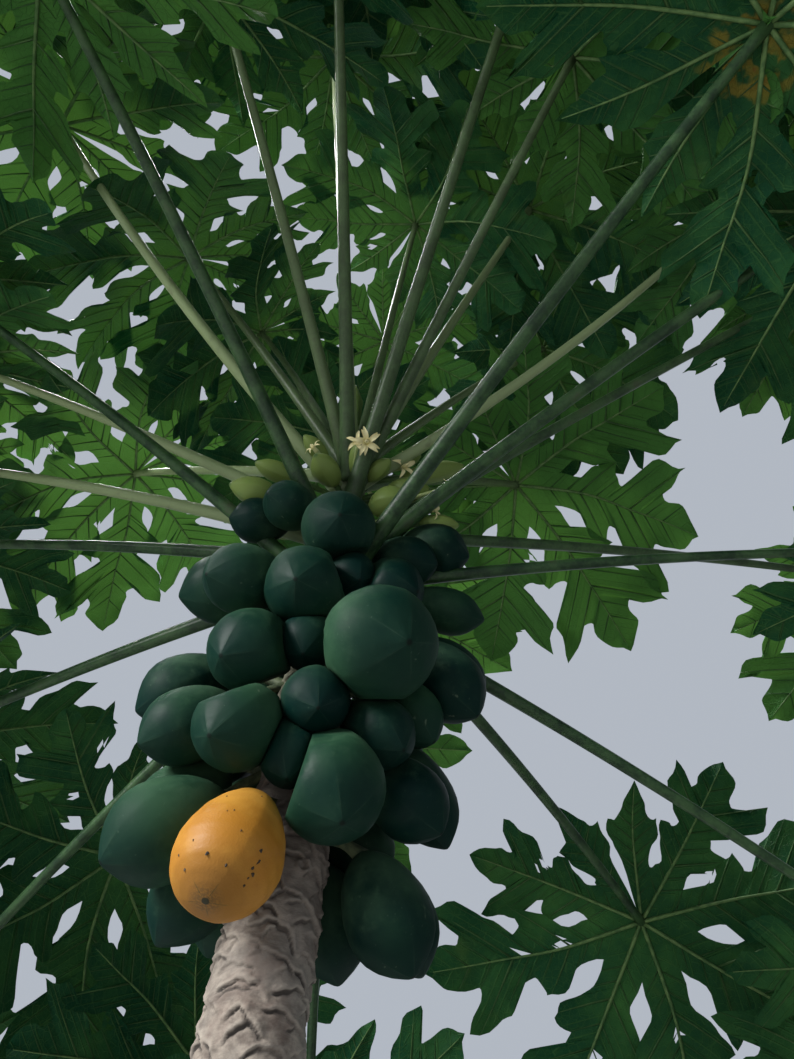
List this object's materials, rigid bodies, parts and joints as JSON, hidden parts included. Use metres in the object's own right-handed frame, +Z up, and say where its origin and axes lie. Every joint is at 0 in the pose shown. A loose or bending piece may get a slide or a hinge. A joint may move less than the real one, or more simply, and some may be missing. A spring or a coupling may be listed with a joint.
{
  "type": "papaya tree",
  "caption": "Fruiting papaya tree: one leaning unbranched trunk, a packed column of hanging fruit under the crown, and long-stalked palm-shaped leaves all round",
  "frame": {"origin": "the middle of the flat cut at the foot of the trunk, on level ground", "axes": "+Z up, +X the way the trunk leans, -Y the side the reference picture is taken from"},
  "size_m": [2.6313, 2.2553, 3.4667],
  "materials": {
    "bark": "pale grey-brown bark with wavy leaf scars",
    "young_green": "soft yellow-green young growth",
    "leaf_green": "thin dark green leaf, paler at the ribs, on a smooth stalk",
    "green_skin": "waxy blue-green unripe skin",
    "ripe_skin": "waxy orange-yellow ripe skin with dark specks"
  },
  "bodies": {
    "root": {"trunk": "bark", "growing_tip": "young_green", "leaf_01": "leaf_green", "leaf_02": "leaf_green", "leaf_03": "leaf_green", "leaf_04": "leaf_green", "leaf_05": "leaf_green", "leaf_06": "leaf_green", "leaf_07": "leaf_green", "leaf_08": "leaf_green", "leaf_09": "leaf_green", "leaf_10": "leaf_green", "leaf_11": "leaf_green", "leaf_12": "leaf_green", "leaf_13": "leaf_green", "leaf_14": "leaf_green", "leaf_15": "leaf_green", "leaf_16": "leaf_green", "leaf_17": "leaf_green", "leaf_18": "leaf_green", "leaf_19": "leaf_green", "leaf_20": "leaf_green", "leaf_21": "leaf_green", "leaf_22": "leaf_green", "leaf_23": "leaf_green", "leaf_24": "leaf_green", "leaf_25": "leaf_green", "leaf_26": "leaf_green", "leaf_27": "leaf_green", "leaf_28": "leaf_green", "leaf_29": "leaf_green", "leaf_30": "leaf_green", "leaf_31": "leaf_green", "leaf_32": "leaf_green", "leaf_33": "leaf_green", "leaf_34": "leaf_green", "leaf_35": "leaf_green", "ripe_fruit": "ripe_skin", "big_fruit": "green_skin", "fruit_01": "green_skin", "fruit_02": "green_skin", "fruit_03": "green_skin", "fruit_04": "green_skin", "fruit_05": "green_skin", "fruit_06": "green_skin", "fruit_07": "green_skin", "fruit_08": "green_skin", "fruit_09": "green_skin", "fruit_10": "green_skin", "fruit_11": "green_skin", "fruit_12": "green_skin", "fruit_13": "green_skin", "fruit_14": "green_skin", "fruit_15": "green_skin", "fruit_16": "green_skin", "fruit_17": "green_skin", "fruit_18": "green_skin", "fruit_19": "green_skin", "fruit_20": "green_skin", "fruit_21": "green_skin"}
  },
  "joints": []
}
